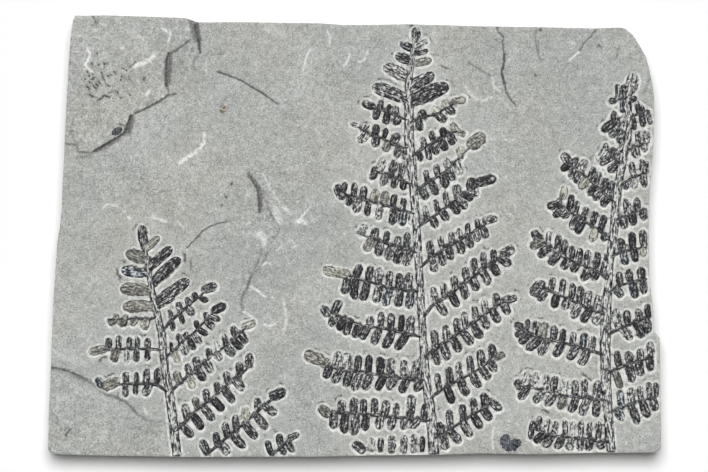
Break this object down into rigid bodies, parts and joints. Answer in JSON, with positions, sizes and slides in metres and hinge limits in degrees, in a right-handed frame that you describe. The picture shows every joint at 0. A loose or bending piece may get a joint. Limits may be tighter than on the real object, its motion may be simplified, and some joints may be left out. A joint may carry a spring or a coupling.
{
  "type": "fossil fern plate",
  "caption": "Flat shale slab with fern fronds pressed on its upper face as thin carbon film; lies on a shelf or table for display.",
  "frame": {"origin": "middle of the object's box, on the plane that the slab rests on", "axes": "+X along the slab's length, +Y the way the fronds grow, +Z out of the face that carries the fronds"},
  "size_m": [0.3, 0.2162, 0.0181],
  "materials": {
    "shale": "matt, fine-grained",
    "carbon": "dull to satin carbon film"
  },
  "bodies": {
    "root": {"stone_slab": "shale", "left_frond": "carbon", "left_frond_low_branch": "carbon", "left_frond_lowest_branch": "carbon", "middle_frond": "carbon", "right_frond": "carbon", "lower_scrap": "carbon", "oval_scrap": "carbon"}
  },
  "joints": []
}
